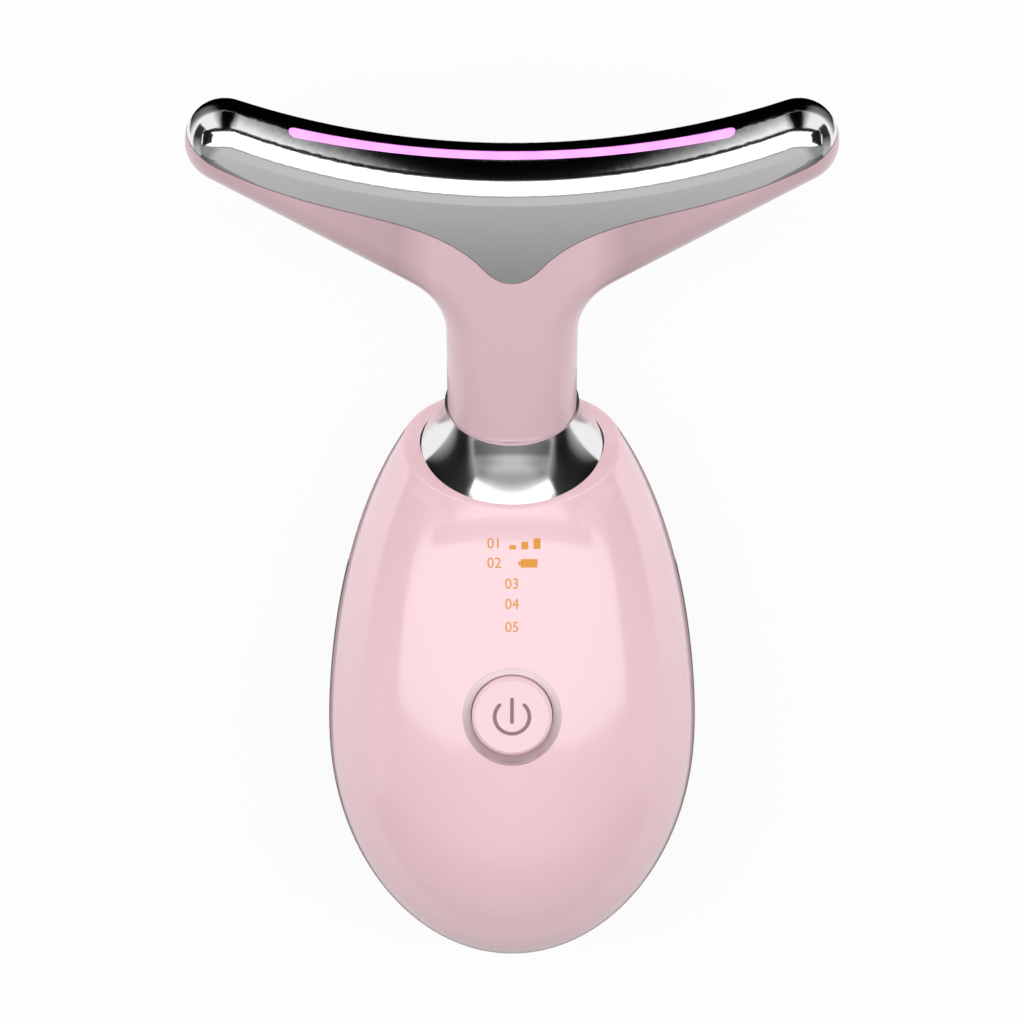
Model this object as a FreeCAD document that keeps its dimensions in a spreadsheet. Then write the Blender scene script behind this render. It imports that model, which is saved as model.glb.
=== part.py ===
import FreeCAD, Part
import Sketcher
import math
import os

from FreeCAD import Placement, Rotation, Vector

# Face massager lying on its back: X width, Y towards the head, Z up through the button side
# Lengths in millimetres, angles in degrees, origin on the rest flat of the rear shell
doc = FreeCAD.newDocument("face_massager")
dims = doc.addObject("Spreadsheet::Sheet", "dims")

SIZES = (
    ("egg_half_width", 26.4), ("egg_upper_length", 53.0), ("egg_lower_length", 34.4),
    ("egg_front_depth", 20.0), ("egg_rear_depth", 17.0), ("rest_depth", 14.6), ("shell_wall", 2.0),
    ("lean_angle", 31.0), ("neck_base_y", 41.9), ("neck_base_rise", 3.4), ("collar_height", 8.0),
    ("collar_base_radius", 12.9), ("collar_flare_radius", 11.0), ("neck_length", 44.45),
    ("neck_insert", 4.0), ("neck_half_width", 9.1), ("neck_half_depth", 8.7), ("neck_clearance", 0.08),
    ("neck_grip_wall", 2.4), ("shoulder_round", 0.5), ("head_half_width", 44.0), ("ridge_radius", 90.0),
    ("face_taper_angle", 4.5), ("tip_half_depth", 4.8), ("tip_top", 7.6), ("tip_radius", 5.4),
    ("tip_lower_radius", 5.8), ("edge_radius", 4.7), ("foot_radius", 8.2), ("wing_slope_angle", 32.6),
    ("wing_root_radius", 11.0), ("neck_start", 1.0),
    ("head_wall", 1.6), ("plate_wall", 1.2), ("seam_gap", 0.2), ("lip_wall", 0.8), ("lip_height", 1.6),
    ("tongue_depth", 17.05), ("tongue_end_half_width", 2.45), ("tongue_end_depth", 16.15),
    ("tongue_half_width", 4.6), ("tongue_side_depth", 13.85), ("shoulder_half_width", 10.0),
    ("shoulder_depth", 9.6), ("seam_mid_x", 25.0), ("seam_mid_depth", 4.3), ("seam_wing_x", 38.2),
    ("seam_wing_rise", 1.2), ("seam_tip_rise", 9.9), ("lens_half_length", 29.9),
    ("lens_half_width", 0.84), ("lens_shift", 0.2), ("lens_bow", 1.0), ("lens_sink", 0.05),
    ("lens_flange_half_width", 2.0), ("lens_flange_thickness", 0.9), ("lens_flange_overlap", 1.2),
    ("lens_clearance", 0.06), ("light_chip_count", 11), ("light_chip_length", 2.0),
    ("light_chip_width", 1.4), ("light_chip_height", 0.8), ("light_board_thickness", 0.4),
    ("light_board_half_width", 2.7), ("heater_thickness", 0.25), ("heater_half_width", 10.0),
    ("heater_top_depth", 7.0), ("heater_bottom_depth", 14.0), ("sensor_width", 1.6), ("sensor_depth", 10.0),
    ("button_y", 5.8), ("button_radius", 5.65), ("button_clearance", 0.12), ("button_top", 34.2),
    ("button_chamfer", 0.45), ("button_flange_radius", 7.0),
    ("button_flange_thickness", 1.0), ("button_flange_gap", 0.3), ("stem_radius", 1.6),
    ("recess_radius", 7.0), ("recess_floor", 32.7), ("recess_top", 33.6),
    ("recess_pad_radius", 9.0), ("recess_pad_thickness", 2.2),
    ("board_half_width", 12.0), ("board_low_y", -20.0), ("board_high_y", 29.0), ("board_top", 23.7),
    ("board_thickness", 1.2), ("board_corner", 3.0), ("board_screw_x", 9.4), ("board_screw_low_y", -16.5),
    ("board_screw_high_y", 15.0), ("board_post_radius", 2.2), ("board_screw_radius", 0.75),
    ("board_screw_head_radius", 1.6), ("board_screw_head", 1.0), ("board_screw_length", 3.4),
    ("switch_width", 6.0), ("switch_height", 3.1), ("plunger_radius", 1.75), ("plunger_rise", 1.2),
    ("plunger_length", 2.6), ("plunger_clearance", 0.05), ("plunger_bore_floor", 0.8), ("contact_gap", 0.15),
    ("guide_half_width", 5.5), ("guide_low_y", 17.6), ("guide_high_y", 28.6), ("guide_height", 4.0),
    ("guide_cell", 1.5), ("mark_light_count", 5), ("mark_light_length", 1.6), ("mark_light_width", 0.8),
    ("mark_light_height", 0.6), ("battery_half_width", 11.0), ("battery_low_y", -14.0),
    ("battery_length", 34.0), ("battery_thickness", 8.0), ("battery_corner", 1.6), ("pad_half_width", 8.5),
    ("pad_low_y", -10.0), ("pad_length", 26.0), ("pad_thickness", 1.2), ("charge_board_half_width", 6.0),
    ("charge_board_low_y", -29.0), ("charge_board_length", 13.0), ("charge_board_thickness", 1.0),
    ("socket_width", 8.94), ("socket_height", 3.2), ("socket_length", 7.4), ("socket_wall", 0.3),
    ("socket_front_y", -33.0), ("socket_clearance", 0.15), ("socket_tongue_thickness", 0.7),
    ("socket_tongue_width", 6.7), ("charge_post_radius", 2.0), ("charge_post_x", 4.0),
    ("charge_post_y", -19.0), ("shell_screw_x", 16.0), ("shell_screw_low_y", -14.0),
    ("shell_screw_high_y", 24.0), ("shell_screw_radius", 1.0), ("shell_screw_head_radius", 2.1),
    ("shell_screw_head", 1.5), ("shell_screw_seat", 8.0), ("shell_screw_length", 13.0),
    ("shell_post_radius", 3.0), ("screw_pilot_share", 0.98), ("screw_pass_share", 1.2),
    ("side_contact_low_y", -25.0), ("side_contact_high_y", 24.0), ("side_contact_half_height", 1.7),
    ("side_contact_depth", 0.8), ("side_contact_proud", 0.05), ("motor_radius", 3.5), ("motor_length", 14.0),
    ("motor_low", -52.0), ("motor_wall", 0.35), ("motor_cap_thickness", 1.4), ("shaft_radius", 0.5),
    ("shaft_clearance", 0.03), ("shaft_out", 5.6), ("shaft_in", 0.9), ("armature_radius", 2.6),
    ("armature_length", 8.0), ("weight_radius", 3.1), ("weight_height", 4.0), ("weight_gap", 1.0),
    ("sleeve_height", 11.0), ("harness_radius", 0.7), ("harness_x", -5.4), ("lead_radius", 0.5),
    ("wire_bend", 3.0), ("connector_width", 5.0), ("connector_length", 4.0), ("connector_height", 2.6),
    ("head_connector_x", -7.0), ("head_connector_y", 24.0), ("motor_connector_x", 2.5),
    ("cell_connector_x", 7.2), ("cell_connector_y", -9.0), ("reach", 150.0), ("egg_steps", 8),
    ("egg_end_share", 0.12), ("join_tolerance", 0.001),
)
for row, (alias, value) in enumerate(SIZES, 1):
    dims.set(f"A{row}", alias)
    dims.set(f"B{row}", str(value))
    dims.setAlias(f"B{row}", alias)
doc.recompute()


def size(alias):
    return float(dims.get(alias))


# The head frame: x across, minus y to the front, z up the neck axis, zero on the ridge of the plate
LEAN = math.radians(size("lean_angle"))
REACH = size("reach")
PARTING = size("rest_depth")
HEAD_RISE = size("collar_height") + size("neck_length")
HEAD_AT = Vector(
    0,
    size("neck_base_y") + HEAD_RISE * math.cos(LEAN),
    PARTING + size("neck_base_rise") + HEAD_RISE * math.sin(LEAN),
)
HEAD_PLACE = Placement(HEAD_AT, Rotation(Vector(1, 0, 0), size("lean_angle") - 90))
HEAD_RISE_TEXT = "(dims.collar_height + dims.neck_length)"


def bind(obj, **texts):
    for name, text in texts.items():
        obj.setExpression(name, text)
    return obj


def at(obj, x="0", y="0", z="0"):
    obj.setExpression("Placement.Base.x", x)
    obj.setExpression("Placement.Base.y", y)
    obj.setExpression("Placement.Base.z", z)
    return obj


# An offset along the head frame turned into the main frame, with the piece turned to lean
def on_head(obj, x="0", z="0"):
    obj.Placement = Placement(Vector(0, 0, 0), Rotation(Vector(1, 0, 0), size("lean_angle") - 90))
    obj.setExpression("Placement.Rotation.Angle", "90 - dims.lean_angle")
    obj.Placement.Rotation.Axis = Vector(-1, 0, 0)
    along = f"({HEAD_RISE_TEXT} + ({z}))"
    return at(
        obj,
        x,
        f"dims.neck_base_y + {along} * cos(dims.lean_angle)",
        f"dims.rest_depth + dims.neck_base_rise + {along} * sin(dims.lean_angle)",
    )


def block(name, length, width, height):
    return bind(doc.addObject("Part::Box", name), Length=length, Width=width, Height=height)


def rod(name, radius, height):
    return bind(doc.addObject("Part::Cylinder", name), Radius=radius, Height=height)


def cut(name, base, tool):
    obj = doc.addObject("Part::Cut", name)
    obj.Base = base
    obj.Tool = tool
    return obj


def joined(name, shapes):
    obj = doc.addObject("Part::MultiFuse", name)
    obj.Shapes = shapes
    return obj


def compound(name, links):
    obj = doc.addObject("Part::Compound", name)
    obj.Links = links
    return obj


def solid(name, shape, placement=None):
    obj = doc.addObject("Part::Feature", name)
    obj.Shape = shape
    if placement is not None:
        obj.Placement = placement
    return obj


def plane_of(body, role):
    return next(item for item in body.Origin.OriginFeatures if item.Role == role)


# A turned piece: profile corners given as radius and height texts, all measured from the origin
def turned(name, corners, arcs=None):
    arcs = arcs or {}
    body = doc.addObject("PartDesign::Body", name)
    sketch = body.newObject("Sketcher::SketchObject", name + "_profile")
    sketch.AttachmentSupport = [(plane_of(body, "XZ_Plane"), "")]
    sketch.MapMode = "FlatFace"
    spots = [Vector(dims.evalExpression(r), dims.evalExpression(z), 0) for r, z in corners]
    count = len(spots)
    for index, spot in enumerate(spots):
        after = spots[(index + 1) % count]
        if index in arcs:
            middle = arc_middle(spot, after, dims.evalExpression(arcs[index]))
            clockwise = (middle - spot).cross(after - middle).z < 0
            sketch.addGeometry(Part.Arc(after, middle, spot) if clockwise else Part.Arc(spot, middle, after))
        else:
            sketch.addGeometry(Part.LineSegment(spot, after))
    ends = [edge_ends(sketch.Geometry[index], spots[index]) for index in range(count)]
    for index in range(count):
        after = (index + 1) % count
        sketch.addConstraint(Sketcher.Constraint("Coincident", index, ends[index][1], after, ends[after][0]))
    for index, (r, z) in enumerate(corners):
        for kind, text in (("DistanceX", r), ("DistanceY", z)):
            value = dims.evalExpression(text)
            row = sketch.addConstraint(Sketcher.Constraint(kind, -1, 1, index, ends[index][0], value))
            sketch.setExpression(f"Constraints[{row}]", text)
        if index in arcs:
            row = sketch.addConstraint(Sketcher.Constraint("Radius", index, dims.evalExpression(arcs[index])))
            sketch.setExpression(f"Constraints[{row}]", arcs[index])
    turn = body.newObject("PartDesign::Revolution", name + "_turn")
    turn.Profile = sketch
    turn.ReferenceAxis = (sketch, ["V_Axis"])
    turn.Angle = 360
    sketch.Visibility = False
    return body


# The middle of an arc that bows towards the axis between two corners
def arc_middle(start, end, radius):
    chord = end - start
    half = chord.Length / 2
    sag = radius - math.sqrt(radius * radius - half * half)
    side = Vector(-chord.y, chord.x, 0).normalize()
    if side.x > 0:
        side = side * -1
    return start + chord * 0.5 + side * sag


def edge_ends(edge, start):
    return (1, 2) if (edge.StartPoint - start).Length < size("join_tolerance") else (2, 1)


EGGS = {}


# Where the egg's sections stand: angle zero at the widest, a small flat left at each end
def egg_stations(inset):
    steps = int(size("egg_steps"))
    last = math.acos(size("egg_end_share"))
    upper, lower = size("egg_upper_length") - inset, size("egg_lower_length") - inset
    turns = [last * k / steps for k in range(-steps, steps + 1)]
    return [((upper if turn > 0 else lower) * math.sin(turn), math.cos(turn)) for turn in turns]


# One half of the egg: half ellipses swept from the lower end to the upper
def egg_half(front, inset=0.0):
    key = (front, inset)
    if key not in EGGS:
        width = size("egg_half_width") - inset
        depth = size("egg_front_depth" if front else "egg_rear_depth") - inset
        wires = []
        for y, share in egg_stations(inset):
            centre = Vector(0, y, PARTING)
            side = Vector(width * share, 0, 0)
            deep = Vector(0, 0, depth * share if front else -depth * share)
            arc = Part.Arc(Part.Ellipse(centre + side, centre + deep, centre), 0, math.pi).toShape()
            wires.append(Part.Wire([arc, Part.makeLine(centre - side, centre + side)]))
        EGGS[key] = Part.makeLoft(wires, True, False)
    return EGGS[key]


def above(height):
    return box_at(REACH, REACH, REACH, Vector(0, 0, height + REACH / 2))


# The solid half, the rear one flat where it rests
def solid_half(front, inset=0.0):
    half = egg_half(front, inset)
    return half if front else half.common(above(0.0))


# The room inside a shell, open at the parting plane
def egg_room(front):
    room = egg_half(front, size("shell_wall"))
    return room if front else room.common(above(size("shell_wall")))


def box_at(length, width, height, centre):
    corner = centre - Vector(length / 2, width / 2, height / 2)
    return Part.makeBox(length, width, height, corner)


def upright(radius, low, high, x, y):
    return Part.makeCylinder(radius, high - low, Vector(x, y, low))


def in_head(shape):
    shape = shape.copy()
    shape.Placement = HEAD_PLACE.multiply(shape.Placement)
    return shape


# A flat oval with round ends, at a height in the head frame
def oval(half_length, half_width, height):
    run = half_length - half_width
    a, b = Vector(-run, -half_width, height), Vector(run, -half_width, height)
    c, d = Vector(run, half_width, height), Vector(-run, half_width, height)
    right = Part.Arc(b, Vector(half_length, 0, height), c).toShape()
    left = Part.Arc(d, Vector(-half_length, 0, height), a).toShape()
    return Part.Wire([Part.makeLine(a, b), right, Part.makeLine(c, d), left])


def oval_bar(half_length, half_width, low, high):
    return Part.Face(oval(half_length, half_width, low)).extrude(Vector(0, 0, high - low))


NECK_BASE = -HEAD_RISE
NECK_END = NECK_BASE - size("neck_insert")


# Everything above the plane on which the collar stands
def above_collar_plane():
    return in_head(box_at(REACH, REACH, REACH, Vector(0, 0, NECK_BASE + REACH / 2)))


# A solid half cut flat for the collar, with a soft shoulder round the flat
def shouldered_half(front):
    half = solid_half(front).cut(above_collar_plane())
    axis = Vector(0, math.cos(LEAN), math.sin(LEAN))
    foot = HEAD_PLACE.multVec(Vector(0, 0, NECK_BASE))
    near = size("join_tolerance")
    rim = []
    for edge in half.Edges:
        spots = edge.discretize(5)
        flat = all(abs((spot - foot).dot(axis)) < near for spot in spots)
        if flat and not all(abs(spot.z - PARTING) < near for spot in spots):
            rim.append(edge)
    return half.makeFillet(size("shoulder_round"), rim)


# The ring inside the shells that grips the neck tube
def neck_grip():
    outer = size("neck_half_width") + size("neck_grip_wall")
    wall = size("shell_wall")
    low = NECK_END + size("seam_gap")
    high = NECK_BASE - wall / 2
    ring = Part.makeCylinder(outer, high - low, Vector(0, 0, low))
    reach, middle = size("egg_half_width"), Vector(0, 0, (low + high) / 2)
    ring = ring.fuse([box_at(wall, 2 * reach, high - low, middle), box_at(2 * reach, wall, high - low, middle)])
    return in_head(ring.cut(head_hull(0.0)))


def socket_hole():
    gap = 2 * size("socket_clearance")
    width, height = size("socket_width") + gap, size("socket_height") + gap
    bar = oval_bar(width / 2, height / 2, 0, size("egg_lower_length"))
    bar.Placement = Placement(Vector(0, size("socket_front_y") + size("socket_length"), PARTING),
                              Rotation(Vector(1, 0, 0), 90))
    return bar


def shell_screw_spots():
    x = size("shell_screw_x")
    return [(sx * x, size(y)) for y in ("shell_screw_low_y", "shell_screw_high_y") for sx in (-1, 1)]


def board_screw_spots():
    x = size("board_screw_x")
    return [(sx * x, size(y)) for y in ("board_screw_low_y", "board_screw_high_y") for sx in (-1, 1)]


# One side strip: a band of the egg skin, slightly proud, let into a pocket of both shells
def side_window(side, front):
    low, high = size("side_contact_low_y"), size("side_contact_high_y")
    height = size("side_contact_half_height")
    width = size("egg_half_width")
    level = PARTING + height / 2 if front else PARTING - height / 2
    return box_at(width, high - low, height, Vector(side * width, (low + high) / 2, level))


def side_pocket(side, front):
    return side_window(side, front).cut(egg_half(front, size("side_contact_depth")))


def side_band(side, front):
    return side_pocket(side, front).common(egg_half(front, -size("side_contact_proud")))


def hollow_half(front):
    wall = size("shell_wall")
    shell = shouldered_half(front).cut(egg_room(front))
    grip = neck_grip().common(solid_half(front, wall / 2))
    return shell.fuse(grip.cut(above_collar_plane()))


def trimmed_half(front, shell):
    for side in (-1, 1):
        shell = shell.cut(side_pocket(side, front))
    return shell.cut(socket_hole())


def make_front_shell():
    wall = size("shell_wall")
    inside = solid_half(True, wall / 2)
    shell = hollow_half(True)
    pilot = size("screw_pilot_share")
    seat = size("button_y")
    floor = size("recess_floor")
    pad = upright(size("recess_pad_radius"), floor - size("recess_pad_thickness"), floor + wall, 0, seat)
    posts = [upright(size("shell_post_radius"), PARTING, PARTING + REACH, x, y) for x, y in shell_screw_spots()]
    posts += [upright(size("board_post_radius"), size("board_top"), REACH, x, y)
              for x, y in board_screw_spots()]
    shell = shell.fuse([pad.common(inside)] + [post.common(inside) for post in posts])
    hole = size("button_radius") + size("button_clearance")
    top, wide = size("recess_top"), size("recess_radius")
    shell = shell.cut(Part.makeCone(hole, wide, top - floor, Vector(0, seat, floor)))
    shell = shell.cut(upright(wide, top, REACH, 0, seat))
    shell = shell.cut(upright(hole, 0, REACH, 0, seat))
    deep = size("shell_screw_seat") + size("shell_screw_length")
    for x, y in shell_screw_spots():
        shell = shell.cut(upright(size("shell_screw_radius") * pilot, 0, deep, x, y))
    deep = size("board_top") + size("board_screw_length") - size("board_thickness")
    for x, y in board_screw_spots():
        shell = shell.cut(upright(size("board_screw_radius") * pilot, 0, deep, x, y))
    return solid("front_shell", trimmed_half(True, shell).removeSplitter())


def charge_board_top():
    return PARTING - size("socket_height") / 2


def make_rear_shell():
    wall = size("shell_wall")
    inside = solid_half(False, wall / 2)
    shell = hollow_half(False)
    posts = [upright(size("shell_post_radius"), 0, PARTING, x, y) for x, y in shell_screw_spots()]
    bottom = charge_board_top() - size("charge_board_thickness")
    posts += [upright(size("charge_post_radius"), 0, bottom, side * size("charge_post_x"), size("charge_post_y"))
              for side in (-1, 1)]
    shell = shell.fuse([post.common(inside) for post in posts])
    for x, y in shell_screw_spots():
        shell = shell.cut(upright(size("shell_screw_radius") * size("screw_pass_share"), 0, PARTING, x, y))
        shell = shell.cut(upright(size("shell_screw_head_radius") * size("screw_pass_share"), 0,
                                  size("shell_screw_seat"), x, y))
    for side in (-1, 1):
        shell = shell.cut(upright(size("board_screw_radius") * size("screw_pilot_share"),
                                  bottom - size("board_screw_length"), bottom,
                                  side * size("charge_post_x"), size("charge_post_y")))
    return solid("rear_shell", trimmed_half(False, shell).removeSplitter())


def make_side_contacts():
    for side, name in ((-1, "side_contact_left"), (1, "side_contact_right")):
        solid(name, side_band(side, True).fuse(side_band(side, False), size("join_tolerance")).removeSplitter())


# The T seen from the front: ridge arc, round tips, straight undersides, root arcs and neck, drawn at an inset
def tee_outline(inset):
    slope = math.radians(size("wing_slope_angle"))
    down = Vector(math.sin(slope), 0, -math.cos(slope))
    ridge, tip, tip_low = size("ridge_radius"), size("tip_radius"), size("tip_lower_radius")
    out = size("head_half_width") - tip
    spine = math.sqrt((ridge + tip) ** 2 - out ** 2)
    tip_at = Vector(out, 0, ridge - spine)
    low_at = Vector(size("head_half_width") - tip_low, 0, tip_at.z)
    inward = Vector(-out, 0, spine) * (1 / (ridge + tip))
    crest = tip_at + inward * (tip - inset)
    end = tip_at + Vector(tip - inset, 0, 0)
    touch = low_at + down * (tip_low - inset)
    root_x, root = size("neck_half_width") + size("wing_root_radius"), size("wing_root_radius") + inset
    start_x = root_x - root * math.sin(slope)
    start = Vector(start_x, 0, touch.z - (touch.x - start_x) * math.tan(slope))
    root_at = Vector(root_x, 0, start.z - root * math.cos(slope))
    neck_top = Vector(root_x - root, 0, root_at.z)
    foot = neck_top - Vector(0, 0, size("neck_start"))
    right = [
        bent(tip_at, crest, end),
        bent(low_at, end, touch),
        Part.makeLine(touch, start),
        bent(root_at, start, neck_top),
        Part.makeLine(neck_top, foot),
    ]
    flip = Placement(Vector(0, 0, 0), Rotation(Vector(0, 0, 1), 180))
    left = []
    for edge in right:
        twin = edge.copy()
        twin.Placement = flip
        left.append(twin)
    top = Part.Arc(Vector(-crest.x, 0, crest.z), Vector(0, 0, -inset), crest).toShape()
    base = Part.makeLine(Vector(-foot.x, 0, foot.z), foot)
    return Part.Wire(Part.__sortEdges__([top, base] + right + left)), foot.z


# The short arc about a centre between two points
def bent(centre, start, end):
    radius = (start - centre).Length
    middle = centre + ((start - centre) + (end - centre)).normalize() * radius
    return Part.Arc(start, middle, end).toShape()


# Half depth of the head at a height: thinnest at the tips, widening evenly down the neck
def face_half_depth(height, inset):
    taper = math.radians(size("face_taper_angle"))
    return size("tip_half_depth") + (size("tip_top") - height) * math.tan(taper) - inset / math.cos(taper)


HULLS = {}


# The T as a tapered slab with every edge of its outline rounded, on a neck that turns round towards its foot
def head_hull(inset, extra=0.0):
    key = (inset, extra)
    if key in HULLS:
        return HULLS[key]
    outline, low = tee_outline(inset)
    top = size("tip_top") + size("tip_radius")
    slab = Part.Face(outline).extrude(Vector(0, REACH / 2, 0))
    slab.translate(Vector(0, -REACH / 4, 0))
    wedge = [Vector(0, side * face_half_depth(height, inset), height)
             for side, height in ((-1, top), (1, top), (1, low - top), (-1, low - top))]
    taper = Part.Face(Part.makePolygon(wedge + wedge[:1])).extrude(Vector(REACH, 0, 0))
    taper.translate(Vector(-REACH / 2, 0, 0))
    blank = solid(f"hull_blank_{len(HULLS)}", slab.common(taper).Solids[0])
    rounded = doc.addObject("Part::Fillet", f"hull_{len(HULLS)}")
    rounded.Base = blank
    rounded.Edges = hull_roundings(blank.Shape, inset, low)
    doc.recompute()
    base = min(rounded.Shape.Faces, key=lambda face: face.CenterOfMass.z)
    HULLS[key] = rounded.Shape.fuse(neck_loft(inset, base.OuterWire, NECK_END - extra))
    return HULLS[key]


# Each long edge of the slab's two faces gets the same rounding
def hull_roundings(shape, inset, low):
    radius = size("edge_radius") - inset
    rows = []
    for index, edge in enumerate(shape.Edges, 1):
        ends = [vertex.Point for vertex in edge.Vertexes]
        if max(end.z for end in ends) > low + size("seam_gap") and abs(ends[0].y + ends[-1].y) > radius:
            rows.append((index, radius, radius))
    return rows


# The neck below the T: a rounded oblong at the top, nearly a circle from the collar down
def neck_loft(inset, top_section, low):
    corner = size("foot_radius") - inset
    sections = [neck_section(height, inset, corner) for height in (NECK_BASE + size("collar_height"), low)]
    return Part.makeLoft([top_section] + sections, True, True)


def neck_section(height, inset, corner):
    wide, deep = size("neck_half_width") - inset, size("neck_half_depth") - inset
    edges = []
    for sx, sy in ((1, 1), (-1, 1), (-1, -1), (1, -1)):
        centre = Vector(sx * (wide - corner), sy * (deep - corner), height)
        turn = (Vector(sx * corner, 0, 0), Vector(0, sy * corner, 0))
        first, last = turn if sx == sy else turn[::-1]
        edges.append((centre, centre + first, centre + last))
    outline = []
    for index, (centre, first, last) in enumerate(edges):
        outline.append(bent(centre, first, last))
        outline.append(Part.makeLine(last, edges[(index + 1) % len(edges)][1]))
    return Part.Wire(outline)


# The field above the seam between plate and shell: one smooth curve from tip to tip with a tongue in the middle
def seam_field(shift):
    right = [
        Vector(size("tongue_end_half_width"), 0, -size("tongue_end_depth")),
        Vector(size("tongue_half_width"), 0, -size("tongue_side_depth")),
        Vector(size("shoulder_half_width"), 0, -size("shoulder_depth")),
        Vector(size("seam_mid_x"), 0, -size("seam_mid_depth")),
        Vector(size("seam_wing_x"), 0, size("seam_wing_rise")),
        Vector(size("head_half_width") + size("tip_radius"), 0, size("seam_tip_rise")),
    ]
    left = [Vector(-spot.x, 0, spot.z) for spot in reversed(right)]
    seam = Part.BSplineCurve()
    seam.interpolate(left + [Vector(0, 0, -size("tongue_depth"))] + right)
    lift = Vector(0, 0, REACH / 2)
    lid = Part.makePolygon([right[-1], right[-1] + lift, left[0] + lift, left[0]])
    face = Part.Face(Part.Wire([seam.toShape()] + lid.Edges))
    face.translate(Vector(0, -REACH / 2, shift))
    return face.extrude(Vector(0, REACH, 0))


# A bar that follows the ridge: a box section in the head frame turned about the ridge axis
def ridge_bar(half_width, top, bottom, half_length):
    corners = [Vector(0, -half_width, -top), Vector(0, half_width, -top), Vector(0, half_width, -bottom),
               Vector(0, -half_width, -bottom)]
    face = Part.Face(Part.makePolygon(corners + corners[:1]))
    axis_at, axis = Vector(0, 0, size("ridge_radius")), Vector(0, 1, 0)
    half_turn = math.degrees(math.asin(half_length / (size("ridge_radius") + bottom)))
    face.rotate(axis_at, axis, -half_turn)
    return face.revolve(axis_at, axis, 2 * half_turn)


# Depth at which the flange of the lens clears the inside of the plate
def lens_flange_top():
    inner = size("edge_radius") - size("plate_wall")
    run = lens_middle() + size("lens_flange_half_width") - size("tip_half_depth") + size("edge_radius")
    return size("plate_wall") + inner - math.sqrt(inner ** 2 - run ** 2) + size("seam_gap") / 2


# How far the flange, chips and light board sit in front of the ridge
def lens_middle():
    return size("lens_shift") + size("lens_bow") / 2


# The lit window seen from above: a narrow band with round ends, its ends bowed to the front
def lens_window(ease):
    half_width = size("lens_half_width") + ease
    run = size("lens_half_length") - size("lens_half_width")
    radius = run ** 2 / (2 * size("lens_bow"))
    centre = Vector(0, -size("lens_shift") - radius, -size("edge_radius"))
    angle = math.asin(run / radius)
    spots = {}
    for side in (-1, 1):
        out = Vector(side * math.sin(angle), math.cos(angle), 0)
        end = centre + out * radius
        spots[side] = (end, end + out * half_width, end - out * half_width,
                       end + Vector(side * math.cos(angle), -math.sin(angle), 0) * half_width)
    back = Part.Arc(spots[-1][1], centre + Vector(0, radius + half_width, 0), spots[1][1]).toShape()
    front = Part.Arc(spots[-1][2], centre + Vector(0, radius - half_width, 0), spots[1][2]).toShape()
    caps = [Part.Arc(spots[side][1], spots[side][3], spots[side][2]).toShape() for side in (-1, 1)]
    outline = Part.Wire(Part.__sortEdges__([back, front] + caps))
    return Part.Face(outline).extrude(Vector(0, 0, REACH / 2))


# The rib of the lens that fills the window flush with the plate
def lens_stem():
    over = ridge_bar(size("edge_radius"), -size("plate_wall"), lens_flange_top(),
                     size("lens_half_length") + size("tip_radius"))
    return over.common(lens_window(0.0)).common(head_hull(size("lens_sink")))


def make_head_shell():
    shell = head_hull(0.0).cut(head_hull(size("head_wall"), size("neck_insert")))
    shell = shell.cut(seam_field(-size("seam_gap")))
    plate, lip = size("plate_wall"), size("lip_wall")
    ring = head_hull(plate).cut(head_hull(plate + lip, size("neck_insert")))
    ring = ring.common(seam_field(-size("lip_height"))).cut(seam_field(size("lip_height")))
    return solid("head_shell", shell.fuse(ring), HEAD_PLACE)


def make_massage_plate():
    plate = head_hull(0.0).cut(head_hull(size("plate_wall"))).common(seam_field(0.0))
    return solid("massage_plate", plate.cut(lens_window(size("lens_clearance"))), HEAD_PLACE)


def make_light_strip():
    top = lens_flange_top()
    bottom = top + size("lens_flange_thickness")
    long = size("lens_half_length") + size("lens_flange_overlap")
    forward = Vector(0, -lens_middle(), 0)
    flange = ridge_bar(size("lens_flange_half_width"), top, bottom, long)
    flange.translate(forward)
    solid("light_strip_lens", lens_stem().fuse(flange), HEAD_PLACE)
    chip_bottom = bottom + size("light_chip_height")
    board = ridge_bar(size("light_board_half_width"), chip_bottom, chip_bottom + size("light_board_thickness"),
                      long)
    board.translate(forward)
    solid("light_board", board, HEAD_PLACE)
    chips = []
    count = int(size("light_chip_count"))
    turn = 2 * math.degrees(math.asin(size("lens_half_length") / size("ridge_radius"))) / count
    for index in range(count):
        chip = box_at(size("light_chip_length"), size("light_chip_width"), size("light_chip_height"),
                      Vector(0, 0, -(bottom + chip_bottom) / 2) + forward)
        chip.rotate(Vector(0, 0, size("ridge_radius")), Vector(0, 1, 0), turn * (index - (count - 1) / 2))
        chips.append(chip)
    solid("light_chips", Part.makeCompound(chips), HEAD_PLACE)
    return chip_bottom + size("light_board_thickness")


def make_heater():
    inset = size("plate_wall")
    top, bottom = size("heater_top_depth"), size("heater_bottom_depth")
    film = head_hull(inset).cut(head_hull(inset + size("heater_thickness")))
    window = box_at(2 * size("heater_half_width"), REACH, bottom - top,
                    Vector(0, -REACH / 2 - size("sensor_width"), -(top + bottom) / 2))
    band = film.common(window).common(seam_field(size("lip_height")))
    solid("heater_film", band, HEAD_PLACE)
    side = size("sensor_width")
    front = face_half_depth(-size("sensor_depth") + side / 2, inset + size("heater_thickness"))
    bead = block("temperature_sensor", "dims.sensor_width", "dims.sensor_width", "dims.sensor_width")
    bead.Placement = HEAD_PLACE.multiply(
        Placement(Vector(-side / 2, -front, -size("sensor_depth") - side / 2), Rotation()))


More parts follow.
